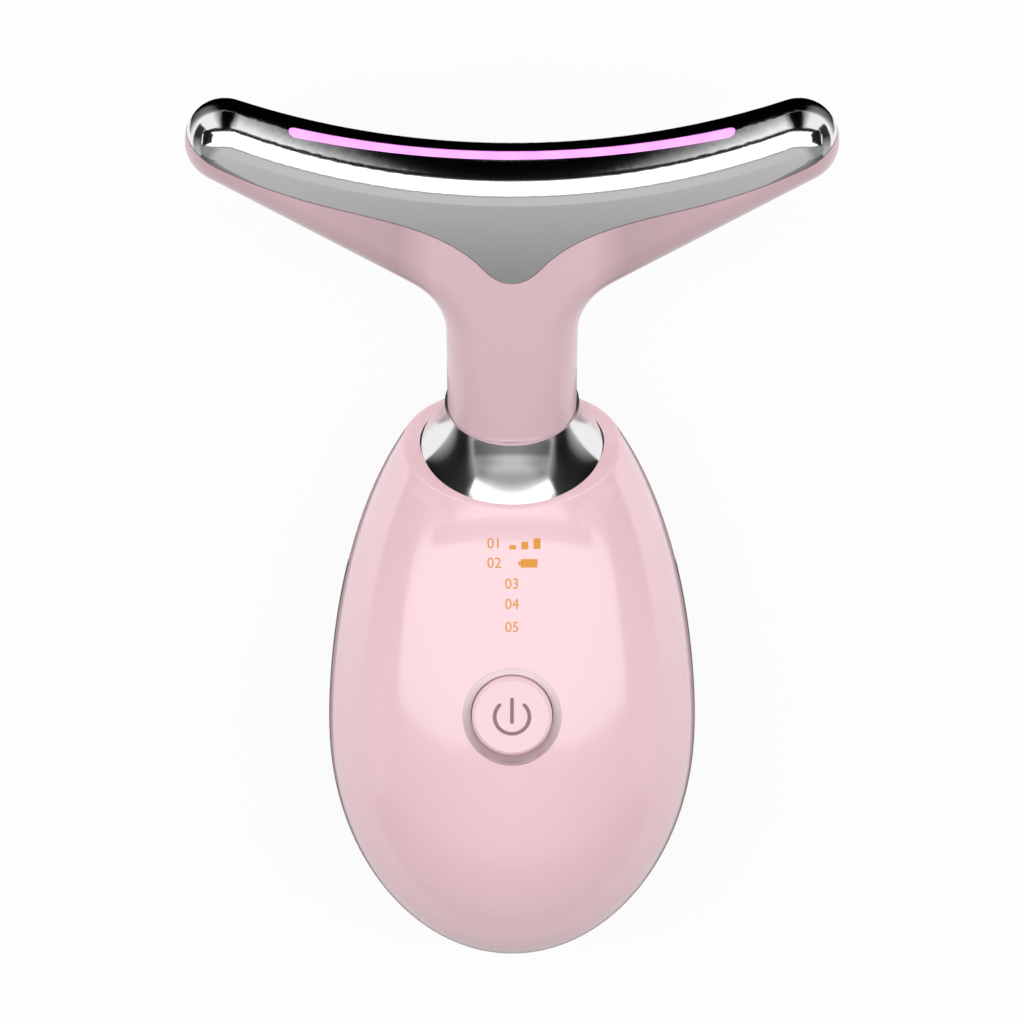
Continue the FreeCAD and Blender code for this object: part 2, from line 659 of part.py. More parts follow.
def make_collar():
    blank = turned("collar_blank", (
        ("dims.neck_half_width - dims.seam_gap", "0"),
        ("dims.collar_base_radius", "0"),
        ("dims.neck_half_width + 2 * dims.seam_gap", "dims.collar_height"),
        ("dims.neck_half_width - dims.seam_gap", "dims.collar_height"),
    ), {1: "dims.collar_flare_radius"})
    on_head(blank, z=f"-{HEAD_RISE_TEXT}")
    tool = solid("collar_hole", head_hull(-size("neck_clearance")), HEAD_PLACE)
    return cut("neck_collar", blank, tool)


def make_button():
    under = "dims.recess_floor - dims.recess_pad_thickness - dims.button_flange_gap"
    flange = f"{under} - dims.button_flange_thickness"
    stem = "dims.board_top + dims.switch_height + dims.plunger_rise + dims.contact_gap"
    corners = (
        ("0", f"{stem}"), ("dims.stem_radius", f"{stem}"), ("dims.stem_radius", flange),
        ("dims.button_flange_radius", flange), ("dims.button_flange_radius", under),
        ("dims.button_radius", under), ("dims.button_radius", "dims.button_top - dims.button_chamfer"),
        ("dims.button_radius - dims.button_chamfer", "dims.button_top"), ("0", "dims.button_top"),
    )
    at(turned("power_button", corners), y="dims.button_y")
    housing = at(block("switch_blank", "dims.switch_width", "dims.switch_width", "dims.switch_height"),
                 "-dims.switch_width / 2", "dims.button_y - dims.switch_width / 2", "dims.board_top")
    bore = at(rod("switch_bore", "dims.plunger_radius + dims.plunger_clearance", "dims.switch_height"),
              "0", "dims.button_y", "dims.board_top + dims.plunger_bore_floor")
    cut("switch_housing", housing, bore)
    at(rod("switch_plunger", "dims.plunger_radius", "dims.plunger_length"), "0", "dims.button_y",
       "dims.board_top + dims.switch_height + dims.plunger_rise - dims.plunger_length")


def make_board():
    low = "dims.board_top - dims.board_thickness"
    blank = at(block("board_blank", "2 * dims.board_half_width", "dims.board_high_y - dims.board_low_y",
                     "dims.board_thickness"), "-dims.board_half_width", "dims.board_low_y", low)
    doc.recompute()
    rounded = doc.addObject("Part::Fillet", "board_rounded")
    rounded.Base = blank
    upright_edges = [index for index, edge in enumerate(blank.Shape.Edges, 1)
                     if abs(edge.tangentAt(edge.FirstParameter).z) > 0.9]
    rounded.Edges = [(index, size("board_corner"), size("board_corner")) for index in upright_edges]
    holes = []
    for index, (x, y) in enumerate(board_screw_spots(), 1):
        hole = rod(f"board_hole_{index}", "dims.board_screw_radius * dims.screw_pass_share",
                   "3 * dims.board_thickness")
        side = "-" if x < 0 else ""
        row = "low" if y < size("button_y") else "high"
        at(hole, f"{side}dims.board_screw_x", f"dims.board_screw_{row}_y", f"{low} - dims.board_thickness")
        holes.append(hole)
    cut("main_board", rounded, joined("board_holes", holes))
    lights = []
    guide_tools = []
    count = int(size("mark_light_count"))
    for index in range(count):
        share = f"({index} + 0.5) / dims.mark_light_count"
        row = f"dims.guide_low_y + (dims.guide_high_y - dims.guide_low_y) * {share}"
        light = block(f"mark_light_{index + 1}", "dims.mark_light_length", "dims.mark_light_width",
                      "dims.mark_light_height")
        lights.append(at(light, "-dims.mark_light_length / 2", f"{row} - dims.mark_light_width / 2",
                         "dims.board_top"))
        cell = block(f"guide_cell_{index + 1}", "2 * dims.guide_half_width - 2 * dims.guide_cell",
                     "dims.guide_cell", "2 * dims.guide_height")
        guide_tools.append(at(cell, "-dims.guide_half_width + dims.guide_cell", f"{row} - dims.guide_cell / 2",
                              "dims.board_top - dims.guide_height / 2"))
    compound("indicator_lights", lights)
    guide = at(block("guide_blank", "2 * dims.guide_half_width", "dims.guide_high_y - dims.guide_low_y",
                     "dims.guide_height"), "-dims.guide_half_width", "dims.guide_low_y", "dims.board_top")
    cut("indicator_light_guide", guide, joined("guide_cells", guide_tools))


def make_connectors():
    base = "dims.board_top - dims.board_thickness - dims.connector_height"
    spots = (("dims.head_connector_x", "dims.head_connector_y"),
             ("dims.motor_connector_x", "dims.head_connector_y"),
             ("dims.cell_connector_x", "dims.cell_connector_y"))
    boxes = []
    for index, (x, y) in enumerate(spots, 1):
        box = block(f"connector_{index}", "dims.connector_width", "dims.connector_length",
                    "dims.connector_height")
        boxes.append(at(box, f"{x} - dims.connector_width / 2", f"{y} - dims.connector_length / 2", base))
    compound("board_connectors", boxes)


def make_power():
    pad = at(block("battery_pad", "2 * dims.pad_half_width", "dims.pad_length", "dims.pad_thickness"),
             "-dims.pad_half_width", "dims.pad_low_y", "dims.shell_wall")
    cell = at(block("battery_blank", "2 * dims.battery_half_width", "dims.battery_length",
                    "dims.battery_thickness"), "-dims.battery_half_width", "dims.battery_low_y",
              "dims.shell_wall + dims.pad_thickness")
    doc.recompute()
    rounded = doc.addObject("Part::Fillet", "battery")
    rounded.Base = cell
    edges = [index for index, edge in enumerate(cell.Shape.Edges, 1)
             if abs(edge.tangentAt(edge.FirstParameter).y) > 0.9]
    rounded.Edges = [(index, size("battery_corner"), size("battery_corner")) for index in edges]
    top = "dims.rest_depth - dims.socket_height / 2"
    blank = at(block("charge_blank", "2 * dims.charge_board_half_width", "dims.charge_board_length",
                     "dims.charge_board_thickness"), "-dims.charge_board_half_width",
               "dims.charge_board_low_y", f"{top} - dims.charge_board_thickness")
    holes = []
    for side, name in (("-", "left"), ("", "right")):
        hole = rod(f"charge_hole_{name}", "dims.board_screw_radius * dims.screw_pass_share",
                   "3 * dims.charge_board_thickness")
        holes.append(at(hole, f"{side}dims.charge_post_x", "dims.charge_post_y",
                        f"{top} - 2 * dims.charge_board_thickness"))
    cut("charge_board", blank, joined("charge_holes", holes))


def make_socket():
    wide, tall, wall = size("socket_width"), size("socket_height"), size("socket_wall")
    long = size("socket_length")
    skin = oval_bar(wide / 2, tall / 2, 0, long)
    room = oval_bar(wide / 2 - wall, tall / 2 - wall, wall, 2 * long)
    tongue = box_at(size("socket_tongue_width"), size("socket_tongue_thickness"), long - 2 * wall,
                    Vector(0, 0, long / 2))
    socket = skin.cut(room).fuse(tongue)
    solid("charging_socket", socket, Placement(Vector(0, size("socket_front_y") + long, PARTING),
                                               Rotation(Vector(1, 0, 0), 90)))


# A pan head screw along Z, head at the low end
def screw(name, radius, head_radius, head, length, x, y, z):
    body = turned(name, (("0", "0"), (head_radius, "0"), (head_radius, head), (radius, head),
                         (radius, f"{head} + {length}"), ("0", f"{head} + {length}")))
    return at(body, x, y, z)


def make_screws():
    pieces = []
    for index, (x, y) in enumerate(shell_screw_spots(), 1):
        side = "-" if x < 0 else ""
        row = "low" if y < 0 else "high"
        pieces.append(screw(f"shell_screw_{index}", "dims.shell_screw_radius", "dims.shell_screw_head_radius",
                            "dims.shell_screw_head", "dims.shell_screw_length", f"{side}dims.shell_screw_x",
                            f"dims.shell_screw_{row}_y", "dims.shell_screw_seat - dims.shell_screw_head"))
    compound("shell_screws", pieces)
    pieces = []
    for index, (x, y) in enumerate(board_screw_spots(), 1):
        side = "-" if x < 0 else ""
        row = "low" if y < size("button_y") else "high"
        pieces.append(screw(f"board_screw_{index}", "dims.board_screw_radius", "dims.board_screw_head_radius",
                            "dims.board_screw_head", "dims.board_screw_length", f"{side}dims.board_screw_x",
                            f"dims.board_screw_{row}_y",
                            "dims.board_top - dims.board_thickness - dims.board_screw_head"))
    for side in ("-", ""):
        name = "charge_screw_left" if side else "charge_screw_right"
        piece = screw(name, "dims.board_screw_radius", "dims.board_screw_head_radius", "dims.board_screw_head",
                      "dims.board_screw_length", f"{side}dims.charge_post_x", "dims.charge_post_y",
                      "dims.rest_depth - dims.socket_height / 2 + dims.board_screw_head")
        piece.Placement.Rotation = Rotation(Vector(1, 0, 0), 180)
        pieces.append(piece)
    compound("board_screws", pieces)


# The vibration motor stands in the neck, its shaft along the neck axis
def make_motor():
    can = turned("motor_can", (
        ("dims.shaft_radius + dims.shaft_clearance", "dims.motor_length - dims.motor_wall"),
        ("dims.motor_radius - dims.motor_wall", "dims.motor_length - dims.motor_wall"),
        ("dims.motor_radius - dims.motor_wall", "0"), ("dims.motor_radius", "0"),
        ("dims.motor_radius", "dims.motor_length"),
        ("dims.shaft_radius + dims.shaft_clearance", "dims.motor_length"),
    ))
    on_head(can, z="dims.motor_low")
    cap = turned("motor_end_cap", (
        ("0", "0"), ("dims.motor_radius - dims.motor_wall", "0"),
        ("dims.motor_radius - dims.motor_wall", "dims.motor_cap_thickness"),
        ("dims.shaft_radius + dims.shaft_clearance", "dims.motor_cap_thickness"),
        ("dims.shaft_radius + dims.shaft_clearance", "dims.motor_cap_thickness - dims.shaft_in"),
        ("0", "dims.motor_cap_thickness - dims.shaft_in"),
    ))
    on_head(cap, z="dims.motor_low")
    start = "dims.motor_low + dims.motor_cap_thickness - dims.shaft_in + dims.shaft_clearance"
    length = "dims.motor_length - dims.motor_cap_thickness + dims.shaft_in - dims.shaft_clearance + dims.shaft_out"
    on_head(rod("motor_shaft", "dims.shaft_radius", length), z=start)
    middle = "dims.motor_low + (dims.motor_length + dims.motor_cap_thickness - dims.armature_length) / 2"
    core = turned("motor_armature", (
        ("dims.shaft_radius", "0"), ("dims.armature_radius", "0"),
        ("dims.armature_radius", "dims.armature_length"), ("dims.shaft_radius", "dims.armature_length")))
    on_head(core, z=middle)
    low = "dims.motor_low + dims.motor_length + dims.weight_gap"
    disc = on_head(rod("weight_disc", "dims.weight_radius", "dims.weight_height"), z=low)
    bind(disc, Angle="180")
    hub = on_head(rod("weight_hub", "3 * dims.shaft_radius", "dims.weight_height"), z=low)
    hole = on_head(rod("weight_hole", "dims.shaft_radius", "dims.weight_height"), z=low)
    cut("eccentric_weight", joined("weight_blank", [disc, hub]), hole)


def make_sleeve():
    wall = size("head_wall")
    low = size("motor_low")
    high = low + size("sleeve_height")
    body = head_hull(wall, size("neck_insert")).common(
        box_at(REACH, REACH, high - low, Vector(0, 0, (low + high) / 2)))
    bore = Part.makeCylinder(size("motor_radius"), 2 * size("sleeve_height"), Vector(0, 0, low - wall))
    channel = Part.makeCylinder(size("harness_radius"), 2 * size("sleeve_height"),
                                Vector(size("harness_x"), 0, low - wall))
    solid("motor_sleeve", body.cut(bore).cut(channel), HEAD_PLACE)


# A round wire: straight runs joined by tangent arcs
def wire_piece(name, corners, radius):
    bend = size("wire_bend")
    edges = []
    start = corners[0]
    for before, corner, after in zip(corners, corners[1:], corners[2:]):
        inward, outward = (before - corner).normalize(), (after - corner).normalize()
        half = inward.getAngle(outward) / 2
        run = bend / math.tan(half)
        first, last = corner + inward * run, corner + outward * run
        middle = corner + (inward + outward).normalize() * (bend / math.sin(half) - bend)
        edges.append(Part.makeLine(start, first))
        edges.append(Part.Arc(first, middle, last).toShape())
        start = last
    edges.append(Part.makeLine(start, corners[-1]))
    path = Part.Wire(edges)
    ring = Part.Wire([Part.makeCircle(radius, corners[0], corners[1] - corners[0])])
    return solid(name, path.makePipeShell([ring], True, False))


# Wires leave a connector level, dip to the mouth of the neck and run up its axis
def neck_wire(name, x, top, radius):
    bend = size("wire_bend")
    base = size("board_top") - size("board_thickness") - size("connector_height") / 2
    edge = size("head_connector_y") + size("connector_length") / 2
    wire_piece(name, [
        Vector(x, edge, base),
        Vector(x, edge + bend, base),
        HEAD_PLACE.multVec(Vector(x, 0, NECK_END - 2 * bend)),
        HEAD_PLACE.multVec(Vector(x, 0, top)),
    ], radius)
    return base


def make_wires(light_board_bottom):
    spine = size("harness_x")
    ridge = size("ridge_radius") + light_board_bottom
    neck_wire("head_harness", spine, size("ridge_radius") - math.sqrt(ridge ** 2 - spine ** 2),
              size("harness_radius"))
    base = neck_wire("motor_leads", size("motor_connector_x") - size("motor_wall"), size("motor_low"),
                     size("lead_radius"))
    cell_top = size("shell_wall") + size("pad_thickness") + size("battery_thickness") / 2
    cell_end = size("battery_low_y")
    wire_piece("battery_leads", [
        Vector(size("cell_connector_x"), cell_end, cell_top),
        Vector(size("cell_connector_x"), cell_end - 2 * size("lead_radius") - size("wire_bend"), cell_top),
        Vector(size("cell_connector_x"), cell_end - 2 * size("lead_radius") - size("wire_bend"), base),
        Vector(size("cell_connector_x"), size("cell_connector_y") - size("connector_length") / 2, base),
    ], size("lead_radius"))


PIECES = (
    "front_shell", "rear_shell", "side_contact_left", "side_contact_right", "neck_collar", "head_shell",
    "massage_plate", "light_strip_lens", "light_board", "light_chips", "heater_film", "temperature_sensor",
    "power_button", "switch_housing", "switch_plunger", "main_board", "indicator_lights",
    "indicator_light_guide", "board_connectors", "battery", "battery_pad", "charge_board", "charging_socket",
    "shell_screws", "board_screws", "motor_can", "motor_end_cap", "motor_shaft", "motor_armature",
    "eccentric_weight", "motor_sleeve", "head_harness", "motor_leads", "battery_leads",
)

make_front_shell()
make_rear_shell()
make_side_contacts()
make_head_shell()
make_massage_plate()
light_board_bottom = make_light_strip()
make_heater()
make_collar()
make_button()
make_board()
make_connectors()
make_power()
make_socket()
make_screws()
make_motor()
make_sleeve()
make_wires(light_board_bottom)
doc.recompute()

for obj in doc.Objects:
    if "Invalid" in obj.State or "Error" in obj.State:
        raise RuntimeError(f"{obj.Name} failed to compute: {obj.State}")
os.makedirs("parts", exist_ok=True)
for name in PIECES:
    obj = doc.getObject(name)
    obj.Label = name
    if obj.Shape.isNull() or not obj.Shape.isValid():
        raise RuntimeError(f"{name} has no valid shape")
    obj.Shape.exportStep(f"parts/{name}.step")
    print(name, len(obj.Shape.Solids), round(obj.Shape.Volume, 2))
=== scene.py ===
import math

import bpy
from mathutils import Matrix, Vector


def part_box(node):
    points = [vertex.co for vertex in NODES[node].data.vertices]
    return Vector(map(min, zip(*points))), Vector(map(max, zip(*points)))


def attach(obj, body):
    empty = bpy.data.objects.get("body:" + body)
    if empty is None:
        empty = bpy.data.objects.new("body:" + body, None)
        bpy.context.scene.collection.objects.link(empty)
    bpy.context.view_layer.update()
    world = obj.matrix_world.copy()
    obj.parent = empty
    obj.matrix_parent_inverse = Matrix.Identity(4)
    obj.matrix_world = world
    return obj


bl_info = {
    "name": "Face massager looks",
    "version": (1, 0, 0),
    "blender": (4, 5, 0),
    "location": "View3D > Sidebar > Massager",
    "description": "Finishes, marks and studio of a face massager",
    "category": "Object",
}

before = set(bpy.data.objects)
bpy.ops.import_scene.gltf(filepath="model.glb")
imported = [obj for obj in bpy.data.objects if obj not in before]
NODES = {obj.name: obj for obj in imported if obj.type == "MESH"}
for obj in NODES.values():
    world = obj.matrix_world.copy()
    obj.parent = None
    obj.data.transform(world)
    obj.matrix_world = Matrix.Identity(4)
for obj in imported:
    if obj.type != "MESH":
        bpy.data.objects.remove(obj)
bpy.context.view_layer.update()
MM = 0.001
SIDES = (("left", -1), ("right", 1))


def mm(*lengths):
    return tuple(length * MM for length in lengths)


# The neck's lean from the rest flat, and the reach along the neck of the flat ring round the collar, whose
# colour is lifted with painted light
NECK_LEAN = math.radians(31)
COLLAR_RING_REACH = 45.19 * MM
COLLAR_RING_EDGE_SHARES = ((0.9965, 0), (0.9985, 1))
COLLAR_RING_PAINTED_LIGHT = 1.14

# The dish round the button, where light and shade are painted into the colour
DISH_RADIUS = 7.0 * MM
DISH_EDGE_SHARES = ((0.985, 1), (1, 0))

# The pink wings of the head: painted shade, darker away from the neck
WING_REACH = 30.0 * MM
WING_SHARES = ((0.36, 0), (0.52, 1), (1, 0.55))
WING_PAINTED_SHADE = 0.745

# The row of light chips behind the strip
LIGHT_CHIPS = 11

# Specks to the metre in the dull finishes
FILM_GRAIN = 800.0
BOARD_GRAIN = 1200.0
SOFT_GRAIN = 1500.0
FOAM_GRAIN = 1800.0
FINE_GRAIN = 2500.0
FINEST_GRAIN = 3000.0

# Colours of the side contacts, the fastenings and the pieces inside
BLACK_RESIN = (0.02, 0.02, 0.022)
BLACK_BEAD = (0.02, 0.02, 0.02)
BLACK_FOAM = (0.03, 0.03, 0.032)
BLACK_RUBBER = (0.04, 0.04, 0.042)
BLACK_JACKET = (0.03, 0.03, 0.03)
RED_JACKET = (0.35, 0.02, 0.02)
RED_RESIN = (0.3, 0.02, 0.015)
GREEN_RESIN = (0.02, 0.14, 0.05)
PALE_RESIN = (0.75, 0.75, 0.72)
WHITE_RESIN = (0.7, 0.7, 0.7)
IVORY_RESIN = (0.75, 0.7, 0.58)
AMBER_FILM = (0.5, 0.22, 0.03)
AMBER_CHIP = (0.85, 0.35, 0.03)
YELLOW_CHIP = (0.85, 0.75, 0.4)
DARK_PLATING = (0.1, 0.095, 0.095)
FOIL = (0.6, 0.61, 0.63)
STEEL = (0.55, 0.55, 0.57)
WEIGHT_METAL = (0.55, 0.42, 0.2)

# The power symbol, in shares of its ring radius and of its stroke
SYMBOL_STEPS = 24
BAR_CENTRE_SHARE = 0.36
BAR_LENGTH_SHARE = 1.55
END_REACH_SHARE = 0.6
END_ROUNDING_SHARE = 0.48
END_ROUNDING_STEPS = 6
UPRIGHT_SHARE = 0.01

# The indicator marks: rows from the top, with a sign beside each of the first two
MARK_ROWS = mm(30.0, 27.35, 24.5, 21.7, 18.5)
SIGN_ROWS = 2
FIGURE_SHIFT = -2.5 * MM
FIGURE_SIZE_SHARE = 1.4
LEVEL_BAR_START = 0.1 * MM
LEVEL_BAR_PITCH = 1.7 * MM
LEVEL_BAR_WIDTH = 0.95 * MM
LEVEL_BAR_SHARES = (0.4, 0.7, 1.0)
CELL_PLACE = 2.4 * MM
CELL_WIDTH = 2.3 * MM
CELL_HEIGHT_SHARE = 0.8
CELL_CAP_PLACE = 1.05 * MM
CELL_CAP_WIDTH = 0.35 * MM
CELL_CAP_HEIGHT_SHARE = 0.4
MARK_CUTS = 3

# Print: the height that a flat mark is dropped from, the ink's grain, and points that count as one
DROP_HEIGHT = 50.0 * MM
INK_RELIEF = 0.002 * MM
MERGE_DISTANCE = 0.0001 * MM

# The floor and the lamps
FLOOR_SIZE = 4.0
FLOOR_DROP = 0.05 * MM
FLOOR_GLOW = 0.88
FLOOR_DEEP = (0.93, 0.93, 0.93)
FLOOR_PALE = (0.95, 0.95, 0.95)
PANEL_PLACE = (0, 0.085, 0.62)
PANEL_SIZE = (2.6, 0.51)
LAMP_PLACE = (0.65, 0.3, 0.45)
LAMP_AIM = Vector((0, 0.02, 0.02))
LAMP_SIZE = 0.7

# Cards that only reflections show: their turns in degrees, and brightness as places and levels
FLAT = (0, 0, 0)
UPRIGHT = (90, 0, 0)
LEANING = (83, 0, 0)
ALONG_SIDES = (90, 0, 90)
EVEN = ((0, 1), (1, 1))
DIM = ((0, 0.12), (1, 0.12))
DARK = ((0, 0), (1, 0))
DISC_CORNERS = 64

# The camera: the height that it looks at, and the picture's middle above the egg's, to the picture's width
AIM_HEIGHT = 14.6 * MM
AIM_SHARE = 210 / 1024
SENSOR_WIDTH = 36
CLIP_START = 0.01

# Places of the colour sockets on a mix node
MIX_FACTOR = 0
MIX_FIRST = 6
MIX_SECOND = 7
MIX_COLOUR = 2


def tint(red, green, blue):
    """Colour as seen on a screen, 0 to 255, turned into shader values."""
    def linear(level):
        share = level / 255
        return share / 12.92 if share <= 0.04045 else ((share + 0.055) / 1.055) ** 2.4
    return (linear(red), linear(green), linear(blue))


class MassagerFinish(bpy.types.PropertyGroup):
    """Colours and gloss of the massager"""
    body_pink: bpy.props.FloatVectorProperty(
        name="Body pink", description="Colour of the egg-shaped shells", subtype="COLOR", size=3,
        default=tint(240, 202, 209))
    head_pink: bpy.props.FloatVectorProperty(
        name="Head pink", description="Colour of the neck and the back of the head", subtype="COLOR", size=3,
        default=tint(223, 190, 197))
    button_pink: bpy.props.FloatVectorProperty(
        name="Button pink", description="Colour of the power button", subtype="COLOR", size=3,
        default=tint(245, 212, 218))
    # Painted light: the colour that the upper end of the button's dish is drawn with
    dish_painted_light: bpy.props.FloatVectorProperty(
        name="Dish painted light", description="Colour of the ring dish at its upper end", subtype="COLOR", size=3,
        default=tint(255, 245, 248))
    # Painted shade: the colour that the lower end of the button's dish is drawn with
    dish_painted_shade: bpy.props.FloatVectorProperty(
        name="Dish painted shade", description="Colour of the ring dish at its lower end", subtype="COLOR", size=3,
        default=tint(169, 147, 150))
    chrome: bpy.props.FloatVectorProperty(
        name="Chrome", description="Colour of the plated plate and collar", subtype="COLOR", size=3,
        default=(0.86, 0.86, 0.87))
    light_colour: bpy.props.FloatVectorProperty(
        name="Light colour", description="Glow of the light strip", subtype="COLOR", size=3,
        default=tint(250, 170, 250))
    amber: bpy.props.FloatVectorProperty(
        name="Amber", description="Colour of the indicator marks", subtype="COLOR", size=3,
        default=tint(226, 150, 20))
    mark_rose: bpy.props.FloatVectorProperty(
        name="Mark rose", description="Colour of the power symbol", subtype="COLOR", size=3,
        default=tint(150, 112, 120))
    shell_roughness: bpy.props.FloatProperty(
        name="Shell roughness", description="How soft reflections on the shells are", subtype="FACTOR",
        default=0.19, min=0, max=1)


class MassagerMarks(bpy.types.PropertyGroup):
    """Sizes of the printed marks"""
    symbol_radius: bpy.props.FloatProperty(
        name="Symbol radius", description="Middle radius of the open ring on the button", unit="LENGTH",
        default=2.45 * MM)
    symbol_stroke: bpy.props.FloatProperty(
        name="Symbol stroke", description="Line width of the power symbol", unit="LENGTH", default=0.52 * MM)
    symbol_opening: bpy.props.FloatProperty(
        name="Symbol opening", description="Angle left open at the top of the ring", unit="ROTATION",
        default=math.radians(80))
    figure_height: bpy.props.FloatProperty(
        name="Figure height", description="Height of the level figures", unit="LENGTH", default=1.45 * MM)
    ink_thickness: bpy.props.FloatProperty(
        name="Ink thickness", description="How far the print stands proud", unit="LENGTH", default=0.03 * MM)


class MassagerStudio(bpy.types.PropertyGroup):
    """Camera, lamps and room"""
    tilt: bpy.props.FloatProperty(
        name="Camera tilt", description="How far the camera leans towards the head", unit="ROTATION",
        default=math.radians(12))
    distance: bpy.props.FloatProperty(
        name="Camera distance", description="From the parting plane to the camera", unit="LENGTH",
        default=0.7)
    view_width: bpy.props.FloatProperty(
        name="View width", description="Width of the picture at the parting plane", unit="LENGTH",
        default=0.1483)
    panel_strength: bpy.props.FloatProperty(
        name="Panel power", description="Power of the panel overhead", unit="POWER", default=6.4)
    side_strength: bpy.props.FloatProperty(
        name="Side power", description="Power of each lamp at the sides", unit="POWER", default=1.45)
    room_level: bpy.props.FloatProperty(
        name="Room level", description="Brightness of the room around", subtype="FACTOR", default=0.28)


class Val:
    """A shader socket with arithmetic: each operation adds one Math node."""

    def __init__(self, finish, socket):
        self.finish = finish
        self.socket = socket

    def math(self, operation, *operands):
        return self.finish.node("ShaderNodeMath", {"operation": operation}, dict(enumerate(operands)))

    def __add__(self, other):
        return self.math("ADD", self, other)

    def __sub__(self, other):
        return self.math("SUBTRACT", self, other)

    def __rsub__(self, other):
        return self.math("SUBTRACT", other, self)

    def __mul__(self, other):
        return self.math("MULTIPLY", self, other)

    def __truediv__(self, other):
        return self.math("DIVIDE", self, other)

    def __pow__(self, other):
        return self.math("POWER", self, other)

    def __abs__(self):
        return self.math("ABSOLUTE", self)

    __radd__ = __add__
    __rmul__ = __mul__


class Finish:
    """One node material built up from a Principled surface."""

    def __init__(self, name):
        self.material = bpy.data.materials.new(name)
        self.material.use_nodes = True
        self.tree = self.material.node_tree
        self.surface = self.tree.nodes["Principled BSDF"]

    def node(self, kind, settings=None, inputs=None, output=0):
        made = self.tree.nodes.new(kind)
        for key, value in (settings or {}).items():
            if key == "stops":
                ramp = made.color_ramp
                while len(ramp.elements) < len(value):
                    ramp.elements.new(0.5)
                for element, (place, level) in zip(ramp.elements, value):
                    element.position = place
                    element.color = (level, level, level, 1)
            else:
                setattr(made, key, value)
        for key, value in (inputs or {}).items():
            self.feed(made.inputs[key], value)
        return Val(self, made.outputs[output])

    def feed(self, socket, value):
        if isinstance(value, Val):
            self.tree.links.new(value.socket, socket)
        elif socket.type == "RGBA":
            socket.default_value = (*value, 1)
        else:
            socket.default_value = value

    def place(self):
        return self.node("ShaderNodeTexCoord", output="Object")

    def axis(self, name):
        return self.node("ShaderNodeSeparateXYZ", inputs={0: self.place()}, output=name)

    def noise(self, scale, detail, stretch=None):
        place = self.place()
        if stretch:
            place = self.node("ShaderNodeMapping", {}, {"Vector": place, "Scale": stretch})
        return self.node("ShaderNodeTexNoise", {}, {"Vector": place, "Scale": scale, "Detail": detail})

    def ramp(self, value, stops):
        """Level that follows a value through stops, each a place and a level."""
        return self.node("ShaderNodeValToRGB", {"stops": stops}, {"Fac": value})

    def mix(self, share, first, second):
        inputs = {MIX_FACTOR: share, MIX_FIRST: first, MIX_SECOND: second}
        return self.node("ShaderNodeMix", {"data_type": "RGBA"}, inputs, output=MIX_COLOUR)

    def mottle(self, pattern, colour, darkest, lightest):
        """Colour that follows a pattern between two shares of itself."""
        return self.mix(pattern, shade(colour, darkest), shade(colour, lightest))

    def bump(self, height, distance, strength):
        inputs = {"Strength": strength, "Distance": distance, "Height": height}
        return self.node("ShaderNodeBump", {}, inputs)

    def set(self, **sockets):
        for name, value in sockets.items():
            self.feed(self.surface.inputs[name.replace("_", " ")], value)
        return self.material


def shade(colour, share):
    return tuple(channel * share for channel in colour[:3])


# Moulded gloss plastic: a faint flow in the colour, fine polish marks in the gloss, and any painted light
# and shade laid over the colour
def moulded(name, colour, roughness, coat, painted_light_and_shade=(), spread=0.06):
    finish = Finish(name)
    flow = finish.noise(scale=60.0, detail=2.0)
    polish = finish.noise(scale=900.0, detail=4.0)
    tone = finish.mottle(flow, colour, darkest=0.985, lightest=1.015)
    for painting in painted_light_and_shade:
        tone = painting(finish, tone, colour)
    return finish.set(
        Base_Color=tone,
        Roughness=roughness - spread / 2 + spread * polish,
        Normal=finish.bump(polish, distance=0.004 * MM, strength=0.25),
        IOR=1.55,
        Coat_Weight=coat,
        Coat_IOR=1.65,
        Coat_Roughness=0.11,
    )


# Painted light and shade in the dish round the button: lighter at its upper end, darker at its lower end
def dish_painted_shading(finish, tone, _):
    look = bpy.context.scene.massager_finish
    low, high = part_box("power_button")
    centre = (low + high) / 2
    across, along = finish.axis("X") - centre.x, finish.axis("Y") - centre.y
    reach = (across * across + along * along) ** 0.5
    painted_slope = finish.mix(0.5 - along / (2 * DISH_RADIUS), look.dish_painted_light, look.dish_painted_shade)
    return finish.mix(finish.ramp(reach / DISH_RADIUS, DISH_EDGE_SHARES), tone, painted_slope)


# Painted light on the flat ring round the collar: a little lighter than the shells
def collar_ring_painted_light(finish, tone, colour):
    along_neck = finish.axis("Y") * math.cos(NECK_LEAN) + finish.axis("Z") * math.sin(NECK_LEAN)
    flat = finish.ramp(along_neck / COLLAR_RING_REACH, COLLAR_RING_EDGE_SHARES)
    return finish.mix(flat, tone, shade(colour, COLLAR_RING_PAINTED_LIGHT))


# Painted shade on the wings of the head: darker than the neck
def wing_painted_shade(finish, tone, colour):
    aside = finish.ramp(abs(finish.axis("X") / WING_REACH), WING_SHARES)
    return finish.mix(aside, tone, shade(colour, WING_PAINTED_SHADE))


# Mirror plating: nearly smooth, with a breath of haze
def plated(name, colour, roughness, spread=0.02):
    finish = Finish(name)
    haze = finish.noise(scale=120.0, detail=4.0)
    return finish.set(
        Base_Color=finish.mottle(haze, colour, darkest=0.98, lightest=1.02),
        Metallic=1.0,
        Roughness=roughness + spread * haze,
    )


# Brushed metal: fine lines along one axis
def brushed(name, colour, roughness, stretch, spread=0.12):
    finish = Finish(name)
    lines = finish.noise(scale=400.0, detail=4.0, stretch=stretch)
    return finish.set(
        Base_Color=finish.mottle(lines, colour, darkest=0.85, lightest=1.1),
        Metallic=1.0,
        Roughness=roughness + spread * lines,
        Normal=finish.bump(lines, distance=0.01 * MM, strength=0.3),
    )


